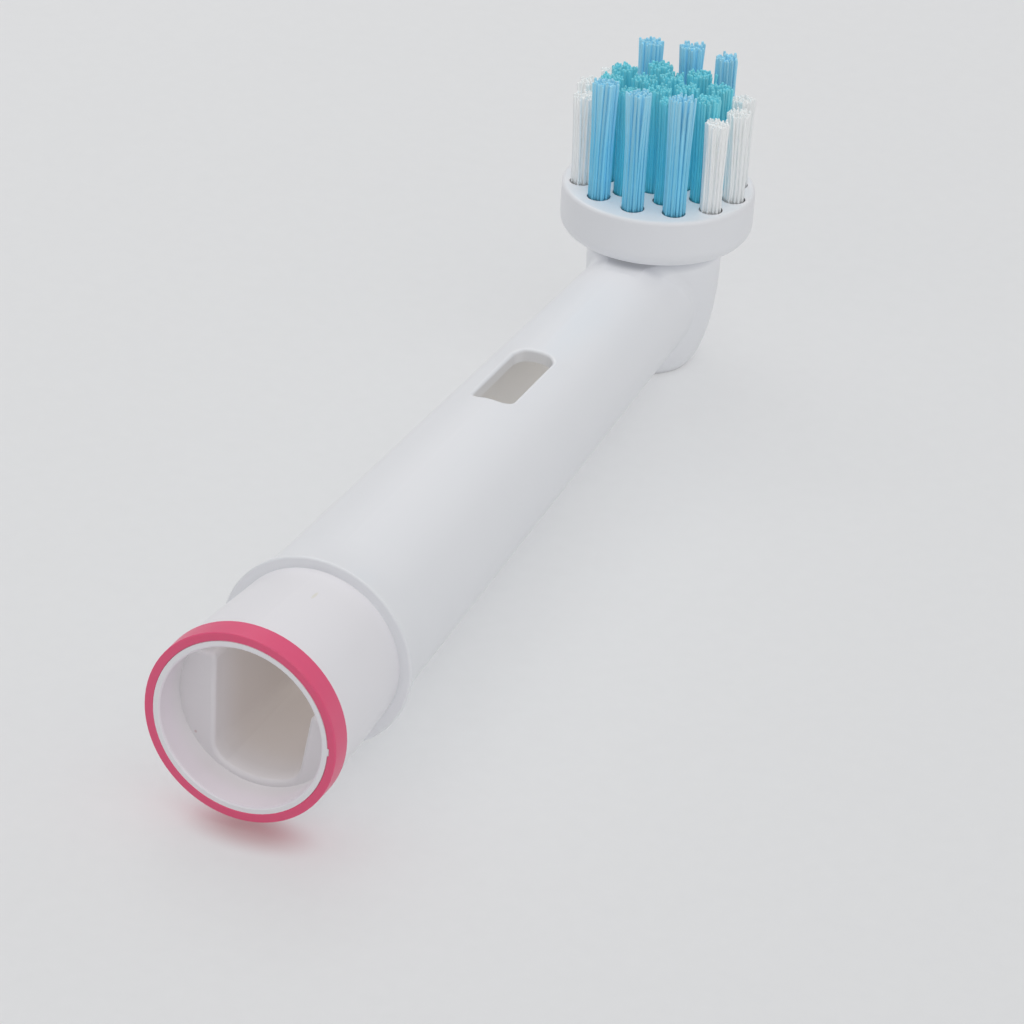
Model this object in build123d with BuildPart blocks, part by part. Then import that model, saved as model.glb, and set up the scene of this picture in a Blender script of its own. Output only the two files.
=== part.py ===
# Replacement head for an electric toothbrush whose round brush swings to and fro.
# Origin: centre of the coloured ring's front face, where the handle goes in.
# +Y runs along the neck to the brush, +Z is the way the bristles point, millimetres.
import os
from math import cos, hypot, radians, sin, sqrt, tan

from build123d import *

os.makedirs("parts", exist_ok=True)

# Clearances
seat_gap = 0.02           # round a piece that is pressed or snapped into place
running_gap = 0.05        # radial play of a journal in its bearing
swing_gap = 0.35          # free space round what swings

# Coloured ring at the mouth
ring_diameter = 13.0
ring_wall = 0.58
ring_width = 1.6
ring_edge = 0.08          # rounding of the ring's front edges
snap_height = 0.12        # bead inside the ring that holds it on the insert
snap_width = 0.5

# Base insert: mouth, keyed socket, plug and sleeve bearing
lip_set_back = 0.02
lip_wall = 0.43           # insert's wall inside the ring
mouth_depth = 2.75
mouth_chamfer = 0.12
index_lug_width = 0.5     # lug on the lip that stops the ring from turning
index_lug_height = 0.1
shelf_width = 0.42        # step from the mouth down to the keyed opening
key_lead = 1.0            # straight start of the keyed opening
key_draft = 3.0
key_edge = 0.3
long_rib_height = 2.0     # how far the long rib stands in from the round wall
long_rib_end = 43.5       # where it ends, in degrees above the socket's middle
short_rib_height = 1.6
short_rib_end = 5.8
short_rib_slant = 9.0
rib_corner = 0.4
key_corner = 1.5          # rounding where the ribs run into the round wall
collar_length = 10.65     # mouth to the neck's end face
collar_step = 0.15        # from the ring's outside in to the collar's
collar_taper = 1.1        # diameter that the collar loses along its length
plug_length = 11.35
plug_shoulder = 0.7       # width of the neck's end face that the collar sits on
plug_taper = 1.1
bearing_diameter = 7.0
bearing_length = 8.5

# Neck tube
neck_step = 0.2           # from the collar's end out to the neck's base
rim_height = 0.72         # the rim stands this far out of the neck's base
rim_flare = 4.5           # length over which the rim runs out into the neck
rim_edge = 0.15
neck_tip_diameter = 8.25  # as if the tube ran on to the brush's axis
neck_rise = 2.03          # the neck's axis has climbed this much there
neck_wall = 0.9
drain_slot_length = 8.0
drain_slot_width = 2.9
drain_slot_corner = 0.8
drain_slot_reach = 41.0   # mouth to the middle of the slot
drain_slot_edge = 0.2

# Cup at the neck's end that carries the brush
brush_reach = 66.6        # mouth to the brush's axis
cup_diameter = 9.7
cup_top = 5.9
cup_straight = 1.3        # height of the cup's upright wall below its top
cup_back = 3.85           # depth of the cup's back below the mouth's centre, before it is cut to rest
cup_back_diameter = 4.8
cup_floor = 2.25
bore_overlap = 0.6        # the tube's bore runs this far into the cup's cavity
neck_blend = 0.8          # rounding where the tube runs into the cup

# Brush disc
disc_diameter = 13.9
disc_thickness = 3.75
disc_side = 2.5           # height of the disc's upright side
disc_edge = 0.3
disc_lift = 0.55          # gap between the cup and the disc
hub_diameter = 6.8
hub_foot = 2.4            # height of the hub's lower end
journal_diameter = 4.4
journal_foot = -1.25      # height of the journal's lower end
groove_diameter = 3.2
pin_hole_roof = 1.2       # solid disc left over the axle's hole and the tufts

# Steel pins
axle_diameter = 1.5
axle_seat = 1.3           # length of the axle held in the cup's floor
retaining_pin_diameter = 1.0
retaining_pin_height = 0.55
retaining_pin_recess = 0.1
drive_pin_diameter = 1.2
drive_pin_seat = 2.8      # length of the drive pin held in the sleeve's crank
drive_pin_tip = 1.5       # the pin ends this far from the brush's axis

# Drive sleeve, which rocks about the neck's own axis
shaft_diameter = 3.9
shaft_depth = 19.5
sleeve_inset = 0.3        # sleeve's end above the bearing's lower edge
flange_diameter = 7.8
flange_width = 1.0
sleeve_diameter = 6.4
sleeve_end_diameter = 5.2
sleeve_end_wall = 1.5
sleeve_taper = 7.5
stem_diameter = 3.0
crank_radius = 3.4
crank_width = 2.4
crank_thickness = 3.0
crank_gap = 5.8           # crank's far face to the cup's inside
slot_spare_angle = 4.0    # the slot flares this much more than the brush swings
slot_wall = 0.5           # hub left between the slot and the axle
drive_ratio = 1.25        # brush swing for each degree of the sleeve's swing
brush_swing = 22.5        # degrees to each side

# Leaf spring that grips the handle's shaft
spring_thickness = 0.3
spring_width = 1.5
spring_length = 10.0
spring_foot = 2.0
spring_crest = 1.2
spring_play = 0.1
spring_bow = 0.35         # how far the crest stands inside the spring's feet
spring_setback = 0.5      # spring's end short of the shaft's end

# Tufts
tuft_diameter = 1.7
strand_width = 0.5        # each tuft stands as a bunch of six-sided strands
strand_gap = 0.02
strands_round = 6
tip_chamfer = 0.12
hole_depth = 2.6
outer_count = 12
outer_ring_width = 11.5
outer_ring_length = 10.0
inner_count = 8
inner_ring_width = 8.0
inner_ring_length = 6.0
centre_count = 4
centre_ring_width = 3.2
centre_ring_length = 2.6
blue_length = 8.9
white_length = 6.8
green_length = 7.9
anchor_thickness = 0.25
anchor_height = 1.0
anchor_lift = 0.5         # fold of bristle under each anchor

# Places worked out from the sizes above
ring_seat_radius = ring_diameter / 2 - ring_wall - seat_gap
mouth_diameter = 2 * (ring_seat_radius - lip_wall)
key_diameter = mouth_diameter - 2 * shelf_width
collar_front_diameter = ring_diameter - 2 * collar_step
collar_back_diameter = collar_front_diameter - collar_taper
plug_base_diameter = collar_back_diameter - 2 * plug_shoulder
plug_tip_diameter = plug_base_diameter - plug_taper
plug_end = collar_length + plug_length
bearing_start = plug_end - bearing_length
key_length = bearing_start - mouth_depth
long_rib_offset = key_diameter / 2 - long_rib_height
long_rib_top = long_rib_offset * tan(radians(long_rib_end))
short_rib_offset = key_diameter / 2 - short_rib_height
short_rib_top = short_rib_offset * tan(radians(short_rib_end))
short_rib_run = key_diameter * sin(radians(short_rib_slant))
short_rib_drop = key_diameter * cos(radians(short_rib_slant))
neck_base_diameter = collar_back_diameter + 2 * neck_step
rim_diameter = neck_base_diameter + 2 * rim_height
neck_run = brush_reach - collar_length
rim_lean = rim_diameter / 2 * neck_rise / neck_run
neck_taper = (neck_base_diameter - neck_tip_diameter) / 2
neck_length = hypot(neck_run, neck_rise)
neck_plane = Plane((0, collar_length, 0), x_dir=(0, neck_run, neck_rise), z_dir=(1, 0, 0))
neck_line = Axis(neck_plane.origin, neck_plane.x_dir)
disc_bottom = cup_top + disc_lift
disc_top = disc_bottom + disc_thickness
hole_floor = disc_top - hole_depth
hub_bore_diameter = axle_diameter + 2 * running_gap
hub_bore_top = hole_floor - pin_hole_roof
cavity_diameter = hub_diameter + 2 * swing_gap
cavity_step = hub_foot - swing_gap
bore_length = brush_reach - cavity_diameter / 2 + bore_overlap - collar_length
cavity_floor = cup_floor - cup_back
drain_slot_start = drain_slot_reach - drain_slot_length / 2
drain_slot_end = drain_slot_start + drain_slot_length
rest_start = collar_length + rim_edge
rest_end = brush_reach + cup_diameter / 2
rest_slope = (rim_diameter / 2 - cup_back) / (rest_end - cup_diameter - rest_start)
lower_cavity_diameter = journal_diameter + 2 * swing_gap
sleeve_start = bearing_start + sleeve_inset
flange_start = plug_end + running_gap
shaft_end = sleeve_start + shaft_depth
crank_end = brush_reach - cavity_diameter / 2 - crank_gap
crank_start = crank_end - crank_thickness
slot_radius = crank_radius / drive_ratio
flare = tan(radians(brush_swing + slot_spare_angle))
waist_half = drive_pin_diameter / 2 / cos(radians(brush_swing)) + running_gap
slot_end = hub_bore_diameter / 2 + slot_wall
slot_top = crank_radius + drive_pin_diameter / 2 + 2 * running_gap
groove_top = retaining_pin_height + retaining_pin_diameter / 2 + 2 * running_gap
groove_foot = retaining_pin_height - retaining_pin_diameter / 2 - 2 * running_gap
retaining_pin_tip = groove_diameter / 2 + running_gap
spring_end = shaft_end - spring_setback
spring_start = spring_end - spring_length
spring_middle = spring_end - spring_length / 2
spring_crest_depth = shaft_diameter / 2 + seat_gap
spring_seat = spring_crest_depth + spring_bow
brush_axis = Axis((0, brush_reach, 0), (0, 0, 1))
standing = (Align.CENTER, Align.CENTER, Align.MIN)


def across(distance):
    """Plane square to the neck at a distance from the mouth, with Z up in it."""
    return Plane((0, distance, 0), x_dir=(-1, 0, 0), z_dir=(0, 1, 0))


def neck_radius(distance):
    """Outer radius of the neck, which tapers evenly, at a distance along its axis."""
    share = distance / neck_length
    return (neck_base_diameter + (neck_tip_diameter - neck_base_diameter) * share) / 2


def cup_radius(height):
    """Outer radius of the cup where its side curves in, at a height from the mouth's centre."""
    drop = (cup_top - cup_straight - height) / (cup_top - cup_straight + cup_back)
    return (cup_back_diameter + (cup_diameter - cup_back_diameter) * sqrt(1 - drop**2)) / 2


def oval_spots(width, length, count, start_angle):
    """Places on an oval round the brush's axis, at even angles of the circle it is stretched from."""
    angles = [radians(start_angle + 360 / count * number) for number in range(count)]
    return [Location((width / 2 * cos(angle), length / 2 * sin(angle), 0)) for angle in angles]


def write(builder, label):
    """Name a finished piece and write it."""
    builder.part.label = label
    export_step(builder.part, f"parts/{label}.step")


# Coloured ring, snapped over the insert's mouth
with BuildPart() as colour_ring:
    with BuildSketch(Plane.YZ):
        with Locations((ring_width / 2, ring_diameter / 2 - ring_wall / 2)):
            Rectangle(ring_width, ring_wall)
    revolve(axis=Axis.Y)
    fillet(colour_ring.edges().group_by(Axis.Y)[0], ring_edge)
    with BuildSketch(Plane.YZ):
        with BuildLine():
            Polyline(
                (ring_width / 2 - snap_width / 2 - seat_gap, ring_seat_radius),
                (ring_width / 2, ring_seat_radius + snap_height + 2 * seat_gap),
                (ring_width / 2 + snap_width / 2 + seat_gap, ring_seat_radius),
                close=True,
            )
        make_face()
    revolve(axis=Axis.Y, mode=Mode.SUBTRACT)
    with Locations((ring_seat_radius, 0, 0)):
        Box(
            2 * (index_lug_height + 2 * seat_gap),
            2 * (ring_width / 4 + seat_gap),
            index_lug_width + 2 * seat_gap,
            mode=Mode.SUBTRACT,
        )
write(colour_ring, "colour_ring")

# Base insert: collar outside, keyed socket inside, plug and sleeve bearing within the neck
with BuildPart() as base_insert:
    with BuildSketch(Plane.YZ):
        with BuildLine():
            Polyline(
                (lip_set_back, mouth_diameter / 2 + mouth_chamfer),
                (lip_set_back, ring_seat_radius),
                (ring_width / 2 - snap_width / 2, ring_seat_radius),
                (ring_width / 2, ring_seat_radius + snap_height),
                (ring_width / 2 + snap_width / 2, ring_seat_radius),
                (ring_width + seat_gap, ring_seat_radius),
                (ring_width + seat_gap, collar_front_diameter / 2),
                (collar_length, collar_back_diameter / 2),
                (collar_length, plug_base_diameter / 2 - seat_gap),
                (plug_end, plug_tip_diameter / 2 - seat_gap),
                (plug_end, bearing_diameter / 2),
                (bearing_start, bearing_diameter / 2),
                (bearing_start, 0),
                (mouth_depth, 0),
                (mouth_depth, mouth_diameter / 2),
                (lip_set_back + mouth_chamfer, mouth_diameter / 2),
                close=True,
            )
        make_face()
    revolve(axis=Axis.Y)
    # Opening that keys the head to its handle: a long rib at one side, a short slanted one at the other
    with BuildSketch(across(mouth_depth)) as key_opening:
        Circle(key_diameter / 2)
        with Locations((long_rib_offset, long_rib_top)):
            Rectangle(key_diameter, key_diameter, align=(Align.MIN, Align.MAX), mode=Mode.SUBTRACT)
        with BuildLine():
            Polyline(
                (-short_rib_offset, short_rib_top),
                (short_rib_run - short_rib_offset, short_rib_top - short_rib_drop),
                (-key_diameter, short_rib_top - short_rib_drop),
                (-key_diameter, short_rib_top),
                close=True,
            )
        make_face(mode=Mode.SUBTRACT)
        fillet(key_opening.vertices().sort_by_distance((0, 0, 0))[:2], rib_corner)
        fillet(key_opening.vertices().sort_by(Axis.Y)[:2], key_corner)
    extrude(amount=key_lead, mode=Mode.SUBTRACT)
    shelf_edges = base_insert.edges().filter_by_position(Axis.Y, mouth_depth, mouth_depth)
    fillet(shelf_edges.sort_by(SortBy.LENGTH)[:-1], key_edge)
    drafted_opening = key_opening.sketch.moved(Location((0, key_lead, 0)))
    extrude(drafted_opening, amount=key_length - key_lead, taper=key_draft, mode=Mode.SUBTRACT)
    with Locations((ring_seat_radius, lip_set_back + ring_width / 8, 0)):
        Box(2 * index_lug_height, ring_width / 4, index_lug_width)
write(base_insert, "base_insert")

# Neck: tapered tube with a rim at its base and a cup for the brush at its end
with BuildPart() as neck:
    with BuildSketch(neck_plane):
        with BuildLine():
            flare_start = (rim_flare, neck_radius(rim_flare))
            TangentArc(flare_start, (-rim_lean, rim_diameter / 2), tangent=(-neck_length, neck_taper))
            Polyline(
                (-rim_lean, rim_diameter / 2),
                (-rim_lean, 0),
                (neck_length, 0),
                (neck_length, neck_radius(neck_length)),
                flare_start,
            )
        make_face()
    revolve(axis=neck_line)
    split(bisect_by=across(collar_length), keep=Keep.TOP)
    fillet(neck.edges().group_by(Axis.Y)[0], rim_edge)
    with BuildSketch(Plane.YZ):
        with BuildLine():
            back_line = Line((brush_reach, -cup_back), (brush_reach + cup_back_diameter / 2, -cup_back))
            side_curve = EllipticalCenterArc(
                (brush_reach + cup_back_diameter / 2, cup_top - cup_straight),
                (cup_diameter - cup_back_diameter) / 2,
                cup_top - cup_straight + cup_back,
                start_angle=-90,
                arc_size=90,
            )
            Polyline(
                side_curve @ 1,
                (brush_reach + cup_diameter / 2, cup_top),
                (brush_reach, cup_top),
                back_line @ 0,
            )
        make_face()
    revolve(axis=brush_axis)
    fillet(neck.edges().filter_by(GeomType.BSPLINE), neck_blend)
    # Back of the cup, cut flat along the line from the rim's lowest point: the head rests on these two
    with BuildSketch(Plane.YZ):
        with BuildLine():
            Polyline(
                (rest_end - cup_diameter, -cup_back),
                (rest_end, rest_slope * cup_diameter - cup_back),
                (rest_end, -2 * cup_back),
                close=True,
            )
        make_face()
    extrude(amount=cup_diameter / 2, both=True, mode=Mode.SUBTRACT)
    # Room under the disc and the cavity for the brush's hub, then the tube's bore that opens into it
    with BuildSketch(Plane.YZ):
        with BuildLine():
            Polyline(
                (brush_reach, disc_bottom),
                (brush_reach + disc_diameter / 2 + swing_gap, disc_bottom),
                (brush_reach + disc_diameter / 2 + swing_gap, cup_top),
                (brush_reach + cavity_diameter / 2, cup_top),
                (brush_reach + cavity_diameter / 2, cavity_step),
                (brush_reach + lower_cavity_diameter / 2, cavity_step),
                (brush_reach + lower_cavity_diameter / 2, cavity_floor),
                (brush_reach, cavity_floor),
                close=True,
            )
        make_face()
    revolve(axis=brush_axis, mode=Mode.SUBTRACT)
    with BuildSketch(neck_plane):
        with BuildLine():
            Polyline(
                (plug_length, 0),
                (plug_length, neck_radius(plug_length) - neck_wall),
                (bore_length, neck_radius(bore_length) - neck_wall),
                (bore_length, 0),
                close=True,
            )
        make_face()
    revolve(axis=neck_line, mode=Mode.SUBTRACT)
    with BuildSketch(Plane.YZ):
        with BuildLine():
            Polyline(
                (collar_length, 0),
                (collar_length, plug_base_diameter / 2),
                (plug_end, plug_tip_diameter / 2),
                (plug_end + swing_gap, plug_tip_diameter / 2),
                (plug_end + swing_gap, 0),
                close=True,
            )
        make_face()
    revolve(axis=Axis.Y, mode=Mode.SUBTRACT)
    # Drain slot through the wall on the bristle side
    with BuildSketch(Plane.XY.offset(neck_rise)):
        with Locations((0, drain_slot_reach)):
            RectangleRounded(drain_slot_width, drain_slot_length, drain_slot_corner)
    extrude(amount=neck_base_diameter / 2, mode=Mode.SUBTRACT)
    slot_edges = neck.edges().filter_by_position(Axis.Y, drain_slot_start, drain_slot_end)
    fillet(slot_edges.filter_by(GeomType.LINE, reverse=True).sort_by(Axis.Z)[-8:], drain_slot_edge)
    # Seats of the axle and of the retaining pin
    with Locations((0, brush_reach, cavity_floor)):
        Hole(axle_diameter / 2 + seat_gap, depth=axle_seat)
    with Locations(across(brush_reach)):
        with Locations((0, retaining_pin_height)):
            Cylinder(
                retaining_pin_diameter / 2 + seat_gap,
                cup_diameter,
                align=standing,
                mode=Mode.SUBTRACT,
            )
write(neck, "neck")

# Drive sleeve: receives the handle's shaft and carries a crank at its far end
with BuildPart() as drive_sleeve:
    with BuildSketch(Plane.YZ):
        with BuildLine():
            Polyline(
                (sleeve_start, shaft_diameter / 2),
                (sleeve_start, bearing_diameter / 2 - running_gap),
                (flange_start, bearing_diameter / 2 - running_gap),
                (flange_start, flange_diameter / 2),
                (flange_start + flange_width, flange_diameter / 2),
                (flange_start + flange_width, sleeve_diameter / 2),
                (shaft_end + sleeve_end_wall, sleeve_end_diameter / 2),
                (shaft_end + sleeve_end_wall + sleeve_taper, stem_diameter / 2),
                (crank_end, stem_diameter / 2),
                (crank_end, 0),
                (shaft_end, 0),
                (shaft_end, shaft_diameter / 2),
                close=True,
            )
        make_face()
    revolve(axis=Axis.Y)
    with BuildSketch(across(crank_start)):
        with Locations((0, crank_radius / 2)):
            SlotCenterToCenter(crank_radius, crank_width, rotation=90)
    extrude(amount=crank_thickness)
    with Locations(across(crank_end)):
        with Locations((0, crank_radius)):
            Hole(drive_pin_diameter / 2 + seat_gap, depth=drive_pin_seat)
    # Flat and window for the leaf spring
    with BuildSketch(Plane.XY.offset(-spring_seat)):
        with Locations((0, spring_middle)):
            Rectangle(spring_width + 2 * spring_play, spring_length + 2 * spring_play)
    extrude(amount=-sleeve_diameter, mode=Mode.SUBTRACT)
    with BuildSketch(Plane.XY):
        with Locations((0, spring_middle)):
            Rectangle(spring_width + 2 * spring_play, spring_length - 2 * spring_foot)
    extrude(amount=-sleeve_diameter, mode=Mode.SUBTRACT)
write(drive_sleeve, "drive_sleeve")

# Leaf spring, bowed in through the sleeve's window
with BuildPart() as shaft_spring:
    with BuildSketch(Plane.YZ):
        with BuildLine():
            spine = Polyline(
                (spring_start, -spring_seat - spring_thickness),
                (spring_start + spring_foot + spring_play, -spring_seat - spring_thickness),
                (spring_middle - spring_crest / 2, -spring_crest_depth - spring_thickness),
                (spring_middle + spring_crest / 2, -spring_crest_depth - spring_thickness),
                (spring_end - spring_foot - spring_play, -spring_seat - spring_thickness),
                (spring_end, -spring_seat - spring_thickness),
            )
            offset(spine, amount=spring_thickness, side=Side.LEFT)
        make_face()
    extrude(amount=spring_width / 2, both=True)
write(shaft_spring, "shaft_spring")

# Drive pin, pressed into the crank and reaching into the hub's slot
with BuildPart() as drive_pin:
    with Locations(across(crank_end - drive_pin_seat)):
        with Locations((0, crank_radius)):
            Cylinder(
                drive_pin_diameter / 2,
                brush_reach - drive_pin_tip - crank_end + drive_pin_seat,
                align=standing,
            )
    chamfer(drive_pin.edges().group_by(Axis.Y)[-1], drive_pin_diameter / 8)
write(drive_pin, "drive_pin")

# Axle, standing in the cup's floor
with BuildPart() as disc_axle:
    with Locations((0, brush_reach, cavity_floor - axle_seat)):
        Cylinder(
            axle_diameter / 2,
            hub_bore_top - swing_gap - cavity_floor + axle_seat,
            align=standing,
        )
    chamfer(disc_axle.edges().group_by(Axis.Z)[-1], axle_diameter / 8)
write(disc_axle, "disc_axle")

# Retaining pin, pressed in through the cup's end so that the brush can't lift off
with BuildPart() as retaining_pin:
    with Locations(across(brush_reach + retaining_pin_tip)):
        with Locations((0, retaining_pin_height)):
            Cylinder(
                retaining_pin_diameter / 2,
                cup_radius(retaining_pin_height) - retaining_pin_recess - retaining_pin_tip,
                align=standing,
            )
write(retaining_pin, "retaining_pin")

# Where the tufts stand on the disc
outer_spots = oval_spots(outer_ring_width, outer_ring_length, outer_count, 0)
inner_spots = oval_spots(inner_ring_width, inner_ring_length, inner_count, 180 / inner_count)
centre_spots = oval_spots(centre_ring_width, centre_ring_length, centre_count, 0)

# Brush disc: plate with the tuft holes, hub with the drive slot, journal with its groove
with BuildPart() as brush_disc:
    with BuildSketch(Plane.YZ):
        with BuildLine():
            top_line = Polyline(
                (brush_reach, disc_top),
                (brush_reach + disc_diameter / 2, disc_top),
                (brush_reach + disc_diameter / 2, disc_top - disc_side),
            )
            under_curve = RadiusArc(
                top_line @ 1,
                (brush_reach + disc_diameter / 2 - disc_thickness + disc_side, disc_bottom),
                disc_thickness - disc_side,
            )
            Polyline(
                under_curve @ 1,
                (brush_reach + hub_diameter / 2, disc_bottom),
                (brush_reach + hub_diameter / 2, hub_foot),
                (brush_reach + journal_diameter / 2, hub_foot),
                (brush_reach + journal_diameter / 2, groove_top),
                (brush_reach + groove_diameter / 2, groove_top),
                (brush_reach + groove_diameter / 2, groove_foot),
                (brush_reach + journal_diameter / 2, groove_foot),
                (brush_reach + journal_diameter / 2, journal_foot),
                (brush_reach, journal_foot),
                top_line @ 0,
            )
        make_face()
    revolve(axis=brush_axis)
    fillet(brush_disc.edges().group_by(Axis.Z)[-1], disc_edge)
    with BuildSketch(Plane.XY.offset(disc_top)):
        with Locations((0, brush_reach)):
            with Locations(outer_spots, inner_spots, centre_spots):
                Circle(tuft_diameter / 2)
    extrude(amount=-hole_depth, mode=Mode.SUBTRACT)
    with BuildSketch(Plane.XY.offset(journal_foot)):
        with Locations((0, brush_reach)):
            Circle(hub_bore_diameter / 2)
    extrude(amount=hub_bore_top - journal_foot, mode=Mode.SUBTRACT)
    # Slot with a waist: it grips the drive pin at one radius and flares clear of it elsewhere
    with BuildSketch(Plane.XY.offset(hub_foot)):
        with BuildLine():
            Polyline(
                (waist_half + (hub_diameter / 2 - slot_radius) * flare, brush_reach - hub_diameter / 2),
                (waist_half, brush_reach - slot_radius),
                (waist_half + (slot_radius - slot_end) * flare, brush_reach - slot_end),
                (0, brush_reach - slot_end),
                (0, brush_reach - hub_diameter / 2),
                close=True,
            )
        make_face()
        mirror(about=Plane.YZ)
    extrude(amount=slot_top - hub_foot, mode=Mode.SUBTRACT)
write(brush_disc, "brush_disc")

# Metal anchors that hold each folded tuft in its hole
with BuildPart() as tuft_anchors:
    with Locations((0, brush_reach, hole_floor + anchor_lift)):
        with Locations(outer_spots, inner_spots, centre_spots):
            Box(
                tuft_diameter - 2 * seat_gap,
                anchor_thickness,
                anchor_height,
                align=standing,
            )
write(tuft_anchors, "tuft_anchors")

strand_spots = [Location()] + PolarLocations(strand_width + strand_gap, strands_round).locations


def write_tuft(label, spot, length):
    """One tuft: a round foot folded over its anchor, and strands that stand up from it."""
    with BuildPart() as tuft:
        with BuildSketch(Plane.XY.offset(hole_floor + seat_gap)):
            with Locations((0, brush_reach)):
                with Locations(spot):
                    Circle(tuft_diameter / 2 - seat_gap)
        extrude(amount=hole_depth - seat_gap)
        with BuildSketch(Plane.XY.offset(disc_top)):
            with Locations((0, brush_reach)):
                with Locations(spot):
                    with Locations(strand_spots):
                        RegularPolygon(strand_width / 2, 6, major_radius=False, rotation=30)
        extrude(amount=length)
        chamfer(tuft.edges().group_by(Axis.Z)[-1], tip_chamfer)
        with Locations((0, brush_reach, hole_floor + anchor_lift - seat_gap)):
            with Locations(spot):
                Box(
                    tuft_diameter,
                    anchor_thickness + 2 * seat_gap,
                    anchor_height + 2 * seat_gap,
                    align=standing,
                    mode=Mode.SUBTRACT,
                )
    write(tuft, label)


# Outer ring: long blue tufts towards the neck and the tip, shorter white ones at the sides
for number, spot in enumerate(outer_spots, 1):
    if abs(spot.position.Y) > abs(spot.position.X):
        write_tuft(f"outer_tuft_{number:02d}_blue", spot, blue_length)
    else:
        write_tuft(f"outer_tuft_{number:02d}_white", spot, white_length)
for number, spot in enumerate(inner_spots, 1):
    write_tuft(f"inner_tuft_{number:02d}", spot, green_length)
for number, spot in enumerate(centre_spots, 1):
    write_tuft(f"centre_tuft_{number:02d}", spot, green_length)
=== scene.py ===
import math
import bpy
import numpy as np
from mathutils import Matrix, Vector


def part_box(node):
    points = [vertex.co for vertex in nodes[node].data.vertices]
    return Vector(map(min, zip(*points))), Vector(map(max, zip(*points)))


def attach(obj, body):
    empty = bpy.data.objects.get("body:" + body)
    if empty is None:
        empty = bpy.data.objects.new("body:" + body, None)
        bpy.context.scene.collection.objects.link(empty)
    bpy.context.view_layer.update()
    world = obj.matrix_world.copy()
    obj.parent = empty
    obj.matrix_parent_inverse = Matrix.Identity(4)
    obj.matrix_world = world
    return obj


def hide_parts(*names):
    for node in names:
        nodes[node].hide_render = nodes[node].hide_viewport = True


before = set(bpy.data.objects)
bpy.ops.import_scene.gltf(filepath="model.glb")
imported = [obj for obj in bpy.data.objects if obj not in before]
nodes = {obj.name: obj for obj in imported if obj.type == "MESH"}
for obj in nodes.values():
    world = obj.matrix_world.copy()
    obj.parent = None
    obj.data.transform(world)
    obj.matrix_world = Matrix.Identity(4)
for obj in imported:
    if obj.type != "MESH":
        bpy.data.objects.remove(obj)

# Toothbrush head, metres, +Y along the neck to the brush, +Z the way the bristles point
scene = bpy.context.scene
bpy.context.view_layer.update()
print("frame loaded,", len(nodes), "nodes")


# Camera at the photo's viewpoint
cameraSet = {
    "place": (0.102334, -0.210946, 0.142037),
    "turnDegrees": (61.644, -2.867, 23.562),
    "lens": 158.2,
    "sensor": 36.0,
    "nearest": 0.01,
    "farthest": 20.0,
}
cameraData = bpy.data.cameras.new("photoCamera")
cameraData.lens = cameraSet["lens"]
cameraData.sensor_width = cameraSet["sensor"]
cameraData.clip_start = cameraSet["nearest"]
cameraData.clip_end = cameraSet["farthest"]
camera = bpy.data.objects.new("photoCamera", cameraData)
camera.location = cameraSet["place"]
camera.rotation_euler = [math.radians(turn) for turn in cameraSet["turnDegrees"]]
scene.collection.objects.link(camera)
scene.camera = camera


def linkMesh(name, points, faces):
    # smooth mesh object at the origin, its place in its vertices
    mesh = bpy.data.meshes.new(name)
    mesh.from_pydata(points, [], faces)
    mesh.polygons.foreach_set("use_smooth", np.full(len(mesh.polygons), True))
    mesh.update()
    obj = bpy.data.objects.new(name, mesh)
    scene.collection.objects.link(obj)
    return obj


def newMaterial(name):
    # empty node material with a Principled shader on its output
    material = bpy.data.materials.new(name)
    material.use_nodes = True
    tree = material.node_tree
    tree.nodes.clear()
    output = tree.nodes.new("ShaderNodeOutputMaterial")
    shader = tree.nodes.new("ShaderNodeBsdfPrincipled")
    tree.links.new(shader.outputs["BSDF"], output.inputs["Surface"])
    return material, tree, shader


def setSockets(node, values):
    for key, value in values.items():
        node.inputs[key].default_value = value


def addNode(tree, kind, values=None, **settings):
    # node with its settings and plain socket values
    node = tree.nodes.new(kind)
    for key, value in settings.items():
        setattr(node, key, value)
    setSockets(node, values or {})
    return node


def srgb(red, green, blue):
    # screen colour 0..255 as the linear colour Blender works in
    share = np.array([red, green, blue]) / 255
    linear = np.where(share <= 0.04045, share / 12.92, ((share + 0.055) / 1.055) ** 2.4)
    return (*linear.tolist(), 1.0)


# Masks and tints by where a point lies on its piece
def pointOf(tree):
    return addNode(tree, "ShaderNodeTexCoord").outputs["Object"]


def partsOf(tree, point):
    parts = addNode(tree, "ShaderNodeSeparateXYZ")
    tree.links.new(point, parts.inputs["Vector"])
    return parts.outputs


def ramped(tree, value, start, full, kind="LINEAR"):
    # 0 at the start, 1 where it is full
    span = addNode(tree, "ShaderNodeMapRange", {"From Min": start, "From Max": full}, interpolation_type=kind)
    tree.links.new(value, span.inputs["Value"])
    return span.outputs["Result"]


def productOf(tree, first, second):
    both = addNode(tree, "ShaderNodeMath", operation="MULTIPLY")
    tree.links.new(first, both.inputs[0])
    tree.links.new(second, both.inputs[1])
    return both.outputs["Value"]


def flattened(tree, point, keep):
    # the point with the coordinates dropped that keep gives as 0
    flat = addNode(tree, "ShaderNodeVectorMath", {1: keep}, operation="MULTIPLY")
    tree.links.new(point, flat.inputs[0])
    return flat.outputs["Vector"]


def nearAxis(tree, point, radius):
    # 1 where the point lies nearer to the Y axis than the radius
    length = addNode(tree, "ShaderNodeVectorMath", operation="LENGTH")
    inside = addNode(tree, "ShaderNodeMath", {1: radius}, operation="LESS_THAN")
    tree.links.new(flattened(tree, point, (1.0, 0.0, 1.0)), length.inputs[0])
    tree.links.new(length.outputs["Value"], inside.inputs[0])
    return inside.outputs["Value"]


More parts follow.
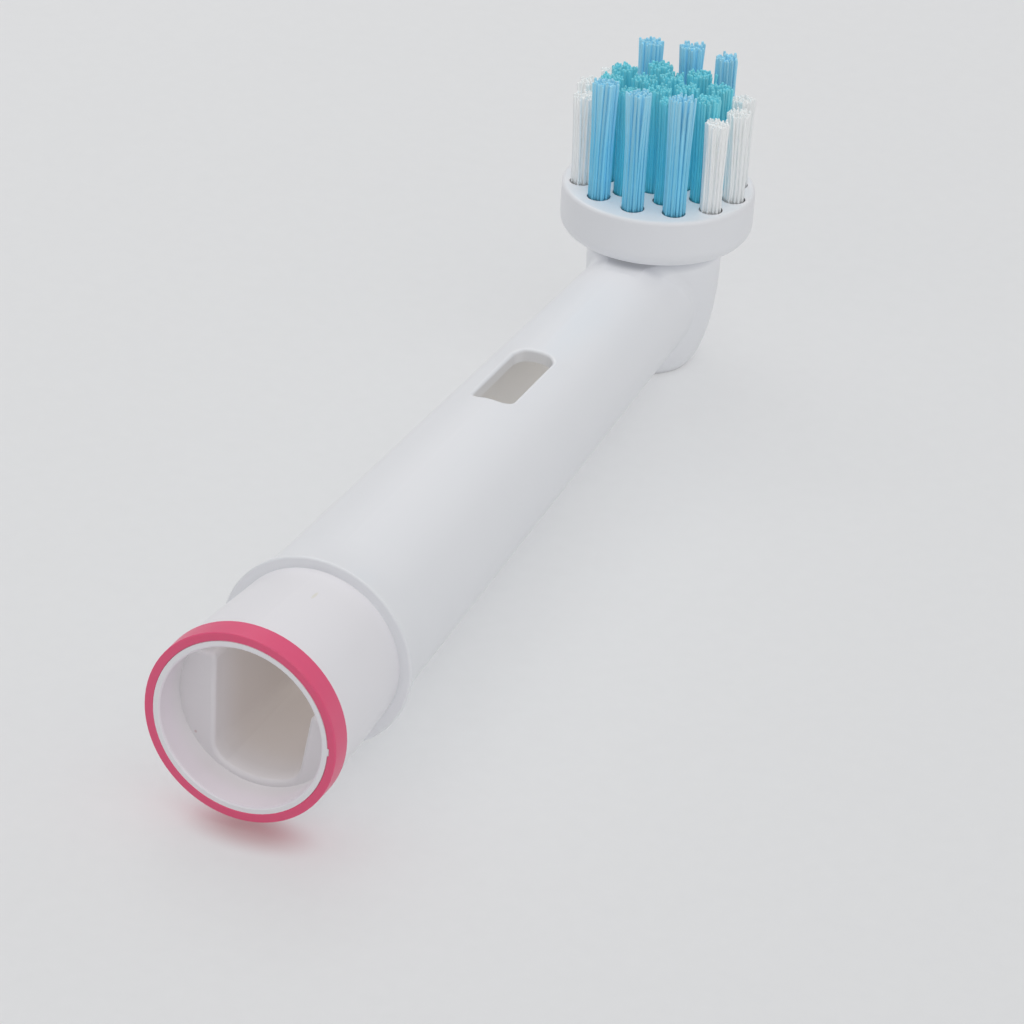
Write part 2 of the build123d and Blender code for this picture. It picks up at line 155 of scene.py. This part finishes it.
def ovalShare(tree, point, spot):
    # share of the spot's size that the point lies away from its middle
    away = addNode(tree, "ShaderNodeVectorMath", {1: spot["place"]}, operation="SUBTRACT")
    share = addNode(tree, "ShaderNodeVectorMath", {1: spot["size"]}, operation="DIVIDE")
    reach = addNode(tree, "ShaderNodeVectorMath", operation="LENGTH")
    tree.links.new(point, away.inputs[0])
    tree.links.new(away.outputs["Vector"], share.inputs[0])
    tree.links.new(share.outputs["Vector"], reach.inputs[0])
    return reach.outputs["Value"]


def layTint(tree, share, tint=(1.0, 1.0, 1.0, 1.0)):
    # base colour multiplied by a tint as far as the share says; gives back the socket for a tint that varies
    base = tree.nodes["Principled BSDF"].inputs["Base Color"]
    mix = addNode(tree, "ShaderNodeMix", {"B": tint}, data_type="RGBA", blend_type="MULTIPLY")
    tree.links.new(share, mix.inputs["Factor"])
    tree.links.new(base.links[0].from_socket, mix.inputs["A"])
    tree.links.new(mix.outputs["Result"], base)
    return mix.inputs["B"]


# Moulded skin: colour drift, fine grain and faint flow marks of moulded plastic, with painted shade in
# crevices
skinAndShadeSet = {
    "driftScale": 90.0, "driftDetail": 3.0, "grainDetail": 4.0, "grainRoughness": 0.6,
    "flowStretch": (260.0, 30.0, 260.0), "flowDetail": 2.0, "flowLow": 0.3, "flowHigh": 0.7,
    "flowHeight": 0.35,
    "creviceReach": 0.0009, "creviceClear": 0.5, "creviceSamples": 4,
}


def buildSkinAndCreviceShade(look):
    group = bpy.data.node_groups.new("skinAndCreviceShade", "ShaderNodeTree")
    face = group.interface
    link = group.links.new
    for name, kind in (("Color", "NodeSocketColor"), ("Drift Color", "NodeSocketColor"),
                       ("Drift", "NodeSocketFloat"), ("Grain Scale", "NodeSocketFloat"),
                       ("Rough Low", "NodeSocketFloat"), ("Rough High", "NodeSocketFloat"),
                       ("Crevice Shade", "NodeSocketFloat")):
        face.new_socket(name=name, in_out="INPUT", socket_type=kind)
    for name, kind in (("Color", "NodeSocketColor"), ("Roughness", "NodeSocketFloat"),
                       ("Height", "NodeSocketFloat")):
        face.new_socket(name=name, in_out="OUTPUT", socket_type=kind)
    entry = group.nodes.new("NodeGroupInput")
    leave = group.nodes.new("NodeGroupOutput")
    point = pointOf(group)
    slow = addNode(group, "ShaderNodeTexNoise", {"Scale": look["driftScale"], "Detail": look["driftDetail"]})
    fine = addNode(group, "ShaderNodeTexNoise",
                   {"Detail": look["grainDetail"], "Roughness": look["grainRoughness"]})
    stretch = addNode(group, "ShaderNodeMapping", {"Scale": look["flowStretch"]})
    flow = addNode(group, "ShaderNodeTexNoise", {"Scale": 1.0, "Detail": look["flowDetail"]})
    link(point, slow.inputs["Vector"])
    link(point, fine.inputs["Vector"])
    link(entry.outputs["Grain Scale"], fine.inputs["Scale"])
    link(point, stretch.inputs["Vector"])
    link(stretch.outputs["Vector"], flow.inputs["Vector"])
    # colour: base drifts towards the second colour where the slow noise is high
    amount = productOf(group, slow.outputs["Fac"], entry.outputs["Drift"])
    tint = addNode(group, "ShaderNodeMix", data_type="RGBA")
    link(amount, tint.inputs["Factor"])
    link(entry.outputs["Color"], tint.inputs["A"])
    link(entry.outputs["Drift Color"], tint.inputs["B"])
    # crevices: painted shade where what lies close by takes light away, as the shadowless fill can't
    near = addNode(group, "ShaderNodeAmbientOcclusion", {"Distance": look["creviceReach"]},
                   samples=look["creviceSamples"])
    clear = addNode(group, "ShaderNodeMapRange", {"From Max": look["creviceClear"]})
    least = addNode(group, "ShaderNodeMath", {0: 1.0}, operation="SUBTRACT")
    shaded = addNode(group, "ShaderNodeMix", {"Factor": 1.0}, data_type="RGBA", blend_type="MULTIPLY")
    link(entry.outputs["Crevice Shade"], least.inputs[1])
    link(near.outputs["AO"], clear.inputs["Value"])
    link(least.outputs[0], clear.inputs["To Min"])
    link(tint.outputs["Result"], shaded.inputs["A"])
    link(clear.outputs["Result"], shaded.inputs["B"])
    link(shaded.outputs["Result"], leave.inputs["Color"])
    # roughness: between its two ends by the flow marks
    rough = addNode(group, "ShaderNodeMapRange", {"From Min": look["flowLow"], "From Max": look["flowHigh"]})
    link(flow.outputs["Fac"], rough.inputs["Value"])
    link(entry.outputs["Rough Low"], rough.inputs["To Min"])
    link(entry.outputs["Rough High"], rough.inputs["To Max"])
    link(rough.outputs["Result"], leave.inputs["Roughness"])
    # height: grain with a little of the flow marks
    height = addNode(group, "ShaderNodeMath", {1: look["flowHeight"]}, operation="MULTIPLY_ADD")
    link(flow.outputs["Fac"], height.inputs[0])
    link(fine.outputs["Fac"], height.inputs[2])
    link(height.outputs[0], leave.inputs["Height"])
    return group


skinAndCreviceShade = buildSkinAndCreviceShade(skinAndShadeSet)


def mouldedFinishAndShade(name, look):
    # plastic whose colour, gloss and grain come from the moulded skin, with painted shade in its crevices
    material, tree, shader = newMaterial(name)
    skin = addNode(tree, "ShaderNodeGroup", node_tree=skinAndCreviceShade)
    setSockets(skin, {
        "Color": look["color"], "Drift Color": look["driftColor"], "Drift": look["drift"],
        "Grain Scale": look["grainScale"], "Rough Low": look["roughLow"], "Rough High": look["roughHigh"],
        "Crevice Shade": look["creviceShade"],
    })
    bump = addNode(tree, "ShaderNodeBump", {"Strength": look["bump"], "Distance": look["grainDepth"]})
    tree.links.new(skin.outputs["Height"], bump.inputs["Height"])
    tree.links.new(skin.outputs["Color"], shader.inputs["Base Color"])
    tree.links.new(skin.outputs["Roughness"], shader.inputs["Roughness"])
    tree.links.new(bump.outputs["Normal"], shader.inputs["Normal"])
    setSockets(shader, look["sockets"])
    return material


def dress(material, *names):
    for name in names:
        mesh = nodes[name].data
        mesh.materials.clear()
        mesh.materials.append(material)


# Neck and disc: white shell, shaded where the disc hangs over the neck
shellLook = {
    "color": srgb(238, 239, 242), "driftColor": srgb(232, 234, 238), "drift": 0.6, "creviceShade": 0.36,
    "grainScale": 2600.0, "roughLow": 0.3, "roughHigh": 0.4, "bump": 0.12, "grainDepth": 0.00005,
    "sockets": {"IOR": 1.49},
}
# the disc takes deeper painted crevice shade, for the gap below it
discLook = dict(shellLook, creviceShade=0.7)
overhang = {
    "axle": (0.0, 0.0666, 0.0), "starts": 0.0064, "full": 0.0053, "lowest": 0.0052, "highest": 0.006,
    "tint": (0.6, 0.61, 0.64, 1.0),
}


def shadeOverhang(material, look):
    # by the distance from the disc's axle and the height
    tree = material.node_tree
    point = pointOf(tree)
    away = addNode(tree, "ShaderNodeVectorMath", {1: look["axle"]}, operation="DISTANCE")
    tree.links.new(flattened(tree, point, (1.0, 1.0, 0.0)), away.inputs[0])
    below = ramped(tree, away.outputs["Value"], look["starts"], look["full"], "SMOOTHSTEP")
    upper = ramped(tree, partsOf(tree, point)["Z"], look["lowest"], look["highest"])
    layTint(tree, productOf(tree, below, upper), look["tint"])
    return material


dress(shadeOverhang(mouldedFinishAndShade("whiteShell", shellLook), overhang), "neck")
dress(mouldedFinishAndShade("whiteDisc", discLook), "brush_disc")


def paintBoreShade(material, look):
    # painted shade inside a bore along Y: tinted by the depth from the mouth, up to the bore's radius
    tree = material.node_tree
    point = pointOf(tree)
    depth = ramped(tree, partsOf(tree, point)["Y"], 0.0, look["reach"])
    down = addNode(tree, "ShaderNodeValToRGB")
    down.color_ramp.interpolation = "EASE"
    stops = down.color_ramp.elements
    for position, tint in look["tints"][1:-1]:
        stops.new(position)
    for stop, (position, tint) in zip(stops, look["tints"]):
        stop.position = position
        stop.color = tint
    tree.links.new(depth, down.inputs["Fac"])
    tree.links.new(down.outputs["Color"], layTint(tree, nearAxis(tree, point, look["radius"])))
    return material


def shadeLowWall(material, look):
    # socket's lower wall behind the shelf: lies in the socket's own shade
    tree = material.node_tree
    point = pointOf(tree)
    parts = partsOf(tree, point)
    low = ramped(tree, parts["Z"], look["lowFrom"], look["lowTo"])
    back = ramped(tree, parts["Y"], look["lowStart"], look["lowFull"])
    inside = nearAxis(tree, point, look["radius"])
    layTint(tree, productOf(tree, productOf(tree, low, back), inside), look["lowTint"])
    return material


def addSpecks(material, specks):
    # small marks, each fading out from its core
    tree = material.node_tree
    point = pointOf(tree)
    for speck in specks:
        layTint(tree, ramped(tree, ovalShare(tree, point, speck), 1.0, speck["core"]), speck["tint"])
    return material


# Insert: painted pink bounce from the ring at the mouth, painted warmer and darker shade further in, with two
# small specks
insertLook = {
    "color": srgb(238, 237, 241), "driftColor": srgb(233, 231, 234), "drift": 0.6, "creviceShade": 0.25,
    "grainScale": 2400.0, "roughLow": 0.29, "roughHigh": 0.38, "bump": 0.1, "grainDepth": 0.00005,
    "sockets": {"IOR": 1.49},
}
# painted light in the socket: pink bounce from the ring near the mouth, then shade that deepens further in
socketShade = {
    "radius": 0.00555, "reach": 0.008,
    "tints": (
        (0.1, (0.97, 0.91, 0.945, 1.0)),
        (0.34, (0.895, 0.88, 0.87, 1.0)),
        (0.85, (0.84, 0.795, 0.745, 1.0)),
    ),
    "lowFrom": -0.0034, "lowTo": -0.0044, "lowStart": 0.003, "lowFull": 0.0042,
    "lowTint": (0.88, 0.87, 0.865, 1.0),
}
collarSpeck = {
    "place": (0.00124, 0.0076, 0.00586), "size": (0.00013, 0.0006, 0.00013), "core": 0.5,
    "tint": (0.93, 0.92, 0.83, 1.0),
}
mouthSpeck = {
    "place": (-0.00431, 0.00275, -0.00289), "size": (0.00012, 0.00012, 0.00012), "core": 0.5,
    "tint": (0.85, 0.74, 0.72, 1.0),
}
insertFinishAndShade = shadeLowWall(paintBoreShade(mouldedFinishAndShade("whiteInsert", insertLook), socketShade), socketShade)
dress(addSpecks(insertFinishAndShade, (collarSpeck, mouthSpeck)), "base_insert")


# Ring: pink, a little translucent
ringLook = {
    "color": srgb(233, 92, 131), "driftColor": srgb(224, 83, 124), "drift": 0.7, "creviceShade": 0.2,
    "grainScale": 3000.0, "roughLow": 0.3, "roughHigh": 0.42, "bump": 0.1, "grainDepth": 0.00005,
    "sockets": {"IOR": 1.49, "Subsurface Weight": 0.2, "Subsurface Radius": (1.0, 0.4, 0.5),
                "Subsurface Scale": 0.0006},
}
dress(mouldedFinishAndShade("pinkRing", ringLook), "colour_ring")


# Sleeve: natural plastic, with painted shade in its shaft bore that darkens the deeper it goes, up to its end
sleeveLook = {
    "color": srgb(240, 231, 214), "driftColor": srgb(230, 220, 202), "drift": 0.8, "creviceShade": 0.0,
    "grainScale": 2200.0, "roughLow": 0.38, "roughHigh": 0.5, "bump": 0.15, "grainDepth": 0.00006,
    "sockets": {"IOR": 1.48, "Subsurface Weight": 0.2, "Subsurface Radius": (1.0, 0.9, 0.75),
                "Subsurface Scale": 0.0008},
}
boreShade = {
    "radius": 0.0021, "reach": 0.036,
    "tints": (
        (0.38, (0.8, 0.8, 0.8, 1.0)),
        (0.57, (0.62, 0.62, 0.63, 1.0)),
        (0.94, (0.45, 0.45, 0.46, 1.0)),
        (0.975, (1.0, 1.0, 1.0, 1.0)),
    ),
}
dress(paintBoreShade(mouldedFinishAndShade("naturalSleeve", sleeveLook), boreShade), "drive_sleeve")
print("plastics dressed")


# Pins, spring and anchors: metal with drawn or rolled lines
def metalFinish(name, look):
    material, tree, shader = newMaterial(name)
    link = tree.links.new
    stretch = addNode(tree, "ShaderNodeMapping", {"Scale": look["lineScale"]})
    lines = addNode(tree, "ShaderNodeTexNoise", {"Scale": 1.0, "Detail": look["lineDetail"]})
    tint = addNode(tree, "ShaderNodeMix", {"A": look["color"], "B": look["lineColor"]}, data_type="RGBA")
    rough = addNode(tree, "ShaderNodeMapRange", {"To Min": look["roughLow"], "To Max": look["roughHigh"]})
    bump = addNode(tree, "ShaderNodeBump", {"Strength": look["bump"], "Distance": look["lineDepth"]})
    link(pointOf(tree), stretch.inputs["Vector"])
    link(stretch.outputs["Vector"], lines.inputs["Vector"])
    link(lines.outputs["Fac"], tint.inputs["Factor"])
    link(lines.outputs["Fac"], rough.inputs["Value"])
    link(lines.outputs["Fac"], bump.inputs["Height"])
    link(tint.outputs["Result"], shader.inputs["Base Color"])
    link(rough.outputs["Result"], shader.inputs["Roughness"])
    link(bump.outputs["Normal"], shader.inputs["Normal"])
    setSockets(shader, {"Metallic": 1.0})
    return material


steelLook = {
    "color": srgb(190, 191, 193), "lineColor": srgb(160, 161, 164), "roughLow": 0.28, "roughHigh": 0.4,
    "lineDetail": 4.0, "bump": 0.2, "lineDepth": 0.00002,
}
pinAcross = dict(steelLook, lineScale=(900.0, 9000.0, 900.0))
pinUpright = dict(steelLook, lineScale=(900.0, 900.0, 9000.0))
springRolled = dict(steelLook, lineScale=(9000.0, 500.0, 900.0))
anchorLook = dict(steelLook, color=srgb(206, 172, 104), lineColor=srgb(176, 140, 78), roughHigh=0.45,
                  lineScale=(900.0, 900.0, 6000.0))
dress(metalFinish("groundPin", pinAcross), "drive_pin", "retaining_pin")
dress(metalFinish("groundAxle", pinUpright), "disc_axle")
dress(metalFinish("rolledSpring", springRolled), "shaft_spring")
dress(metalFinish("anchorWire", anchorLook), "tuft_anchors")
print("metals dressed")


# Tufts: each is a bundle of round-ended nylon filaments that fans out a little
tuftSet = {
    "filaments": 52, "sides": 6, "thickness": 0.00021, "bundleRadius": 0.00074,
    "stemShares": (0.0, 0.3, 0.6, 0.85), "endDegrees": (0.0, 40.0, 72.0),
    "rootDepth": 0.0012, "fan": 0.16, "lean": 0.00010, "tipSpread": 0.00022, "seed": 4,
}
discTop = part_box("brush_disc")[1].z
goldenTurn = math.pi * (3 - math.sqrt(5))
draws = np.random.default_rng(tuftSet["seed"])


def filamentBundle(name, node, material):
    low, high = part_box(node)
    count, sides = tuftSet["filaments"], tuftSet["sides"]
    centre = np.array([(low.x + high.x) / 2, (low.y + high.y) / 2])
    order = np.arange(count)
    # roots on a sunflower: radius grows with the root of the order, angle by the golden turn
    radius = tuftSet["bundleRadius"] * np.sqrt((order + 0.5) / count)
    angle = order * goldenTurn + draws.uniform(0, 2 * math.pi)
    root = np.stack([radius * np.cos(angle), radius * np.sin(angle)], 1)
    lean = draws.normal(0, tuftSet["lean"], (count, 2))
    top = high.z - draws.uniform(0, tuftSet["tipSpread"], count)
    foot = discTop - tuftSet["rootDepth"]
    # rings up one filament: even stem, then a rounded end whose radius follows a quarter circle
    half = tuftSet["thickness"] / 2
    stem = np.array(tuftSet["stemShares"])
    dome = np.radians(tuftSet["endDegrees"])
    width = np.concatenate([np.ones(len(stem)), np.cos(dome)]) * half
    stemHeight = foot + stem[None, :] * (top - half - foot)[:, None]
    domeHeight = (top - half)[:, None] + np.sin(dome)[None, :] * half
    height = np.concatenate([stemHeight, domeHeight], 1)
    share = np.clip((height - discTop) / (high.z - discTop), 0, 1)
    # fan: the bundle spreads with the square of the height share, each filament leans by its own draw
    spread = 1 + tuftSet["fan"] * share ** 2
    path = centre + root[:, None, :] * spread[..., None] + lean[:, None, :] * (share ** 2)[..., None]
    turn = np.arange(sides) * 2 * math.pi / sides
    ring = np.stack([np.cos(turn), np.sin(turn)], 1)
    flat = path[:, :, None, :] + width[None, :, None, None] * ring[None, None, :, :]
    tall = np.broadcast_to(height[:, :, None, None], flat.shape[:3] + (1,))
    points = np.concatenate([flat, tall], 3)
    rings = points.shape[1]
    # quads between neighbouring rings, and one closing face at each end
    index = np.arange(count * rings * sides).reshape(count, rings, sides)
    around = np.roll(index, -1, 2)
    quads = np.stack([index[:, :-1], around[:, :-1], around[:, 1:], index[:, 1:]], 3).reshape(-1, 4)
    caps = np.concatenate([index[:, 0, ::-1], index[:, -1, :]])
    bundle = linkMesh(name, points.reshape(-1, 3).tolist(), quads.tolist() + caps.tolist())
    # each filament's own tone and the height share along it, for the nylon's colour
    tone = np.broadcast_to(draws.uniform(0, 1, count)[:, None, None], index.shape)
    rise = np.broadcast_to(share[:, :, None], index.shape)
    for label, values in (("strandTone", tone), ("strandRise", rise)):
        layer = bundle.data.attributes.new(label, "FLOAT", "POINT")
        layer.data.foreach_set("value", np.ascontiguousarray(values, np.float32).ravel())
    bundle.data.materials.append(material)
    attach(bundle, "brush")
    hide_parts(node)


def bristleFinish(name, look):
    # nylon: colour runs from root to tip, each filament a little lighter or darker than the next
    material, tree, shader = newMaterial(name)
    link = tree.links.new
    rise = addNode(tree, "ShaderNodeAttribute", attribute_name="strandRise")
    tone = addNode(tree, "ShaderNodeAttribute", attribute_name="strandTone")
    length = addNode(tree, "ShaderNodeMix", {"A": look["root"], "B": look["tip"]}, data_type="RGBA")
    vary = addNode(tree, "ShaderNodeMapRange", {"To Min": 1 - look["vary"], "To Max": 1 + look["vary"]})
    shade = addNode(tree, "ShaderNodeHueSaturation")
    rough = addNode(tree, "ShaderNodeMapRange", {"To Min": look["roughLow"], "To Max": look["roughHigh"]})
    link(ramped(tree, rise.outputs["Fac"], look["fadeStart"], 1.0), length.inputs["Factor"])
    link(length.outputs["Result"], shade.inputs["Color"])
    link(tone.outputs["Fac"], vary.inputs["Value"])
    link(vary.outputs["Result"], shade.inputs["Value"])
    link(shade.outputs["Color"], shader.inputs["Base Color"])
    link(tone.outputs["Fac"], rough.inputs["Value"])
    link(rough.outputs["Result"], shader.inputs["Roughness"])
    setSockets(shader, look["sockets"])
    return material


nylonLook = {"roughLow": 0.28, "roughHigh": 0.42, "sockets": {"IOR": 1.53, "Specular IOR Level": 0.4}}
blueLook = dict(nylonLook, root=srgb(130, 214, 245), tip=srgb(166, 227, 249), fadeStart=0.4, vary=0.10)
whiteLook = dict(nylonLook, root=srgb(246, 249, 250), tip=srgb(250, 252, 252), fadeStart=0.2, vary=0.04)
greenLook = dict(nylonLook, root=srgb(100, 212, 236), tip=srgb(128, 220, 234), fadeStart=0.4, vary=0.10)
bristles = {
    "blue": (bristleFinish("blueNylon", blueLook), "blue_bristle"),
    "white": (bristleFinish("clearNylon", whiteLook), "white_bristle"),
    "green": (bristleFinish("tealNylon", greenLook), "green_bristle"),
}
# an outer tuft's node ends with its colour, all others are green
for node in sorted(name for name in nodes if "_tuft_" in name):
    ending = node.rsplit("_", 1)[-1]
    finish, slotName = bristles[ending if ending in bristles else "green"]
    filamentBundle("filaments_" + node, node, finish)
print("tufts filled")


# Floor: the head lies on its rim and on the back of its cup, so the floor rises towards the brush
floorSet = {
    "touchY": 0.0108, "touchZ": -0.00668, "slope": 0.0555, "half": 1.2, "color": srgb(229, 230, 231),
    "grainScale": 900.0, "grainDetail": 5.0, "vary": 0.015,
    "sockets": {"Roughness": 0.55, "Specular IOR Level": 0.3},
}
edge = np.array([-1.0, 1.0]) * floorSet["half"]
gridX, gridY = np.meshgrid(edge, edge)
gridZ = floorSet["touchZ"] + floorSet["slope"] * (gridY - floorSet["touchY"])
corners = np.stack([gridX, gridY, gridZ], 2).reshape(-1, 3)
floor = linkMesh("floor", corners.tolist(), [(0, 1, 3, 2)])
floorMaterial, tree, shader = newMaterial("paleFloor")
point = pointOf(tree)
grain = addNode(tree, "ShaderNodeTexNoise",
                {"Scale": floorSet["grainScale"], "Detail": floorSet["grainDetail"]})
vary = addNode(tree, "ShaderNodeMapRange", {"To Min": 1 - floorSet["vary"], "To Max": 1 + floorSet["vary"]})
shade = addNode(tree, "ShaderNodeHueSaturation", {"Color": floorSet["color"]})
tree.links.new(point, grain.inputs["Vector"])
tree.links.new(grain.outputs["Fac"], vary.inputs["Value"])
tree.links.new(vary.outputs["Result"], shade.inputs["Value"])
tree.links.new(shade.outputs["Color"], shader.inputs["Base Color"])
setSockets(shader, floorSet["sockets"])
# pink shade that the ring throws on the floor: an oval that fades from its core to its edge
ringShade = {
    "place": (0.0008, 0.0003, -0.0073), "size": (0.0052, 0.0026, 0.01), "core": 0.15,
    "tint": (0.745, 0.59, 0.595, 1.0),
}
pinkShare = ramped(tree, ovalShare(tree, point, ringShade), 1.0, ringShade["core"], "SMOOTHSTEP")
layTint(tree, pinkShare, ringShade["tint"])
floor.data.materials.append(floorMaterial)


# Soft studio light: pale surroundings, a wide panel and fill that casts no shadow, as in a light tent
lightSet = {
    "surround": (0.97, 0.98, 1.0, 1.0), "surroundStrength": 0.435,
    "panelPlace": (-0.4, 0.45, 0.65), "panelAim": (0.0, 0.035, 0.0), "panelSize": 0.7, "panelPower": 1.9,
    "panelColor": (1.0, 0.99, 0.97),
    "fillTurns": ((28.0, -120.0), (42.0, 62.0), (70.0, -12.0)), "fillStrength": (0.83, 0.77, 0.13),
    "fillSpread": 60.0, "fillColor": (1.0, 0.99, 0.98),
}
world = bpy.data.worlds.new("studio")
world.use_nodes = True
setSockets(world.node_tree.nodes["Background"],
           {"Color": lightSet["surround"], "Strength": lightSet["surroundStrength"]})
scene.world = world
panelData = bpy.data.lights.new("overheadPanel", "AREA")
panelData.shape = "DISK"
panelData.size = lightSet["panelSize"]
panelData.energy = lightSet["panelPower"]
panelData.color = lightSet["panelColor"]
panel = bpy.data.objects.new("overheadPanel", panelData)
panel.location = lightSet["panelPlace"]
aim = np.array(lightSet["panelAim"]) - np.array(lightSet["panelPlace"])
panel.rotation_euler = (math.atan2(math.hypot(aim[0], aim[1]), -aim[2]), 0, math.atan2(aim[0], -aim[1]))
scene.collection.objects.link(panel)
for (tilt, turn), strength in zip(lightSet["fillTurns"], lightSet["fillStrength"]):
    fillData = bpy.data.lights.new("tentFill", "SUN")
    fillData.energy = strength
    fillData.color = lightSet["fillColor"]
    fillData.angle = math.radians(lightSet["fillSpread"])
    fillData.use_shadow = False
    fill = bpy.data.objects.new("tentFill", fillData)
    fill.rotation_euler = (math.radians(tilt), 0, math.radians(turn))
    scene.collection.objects.link(fill)
scene.view_settings.view_transform = "Standard"
print("floor and light set")
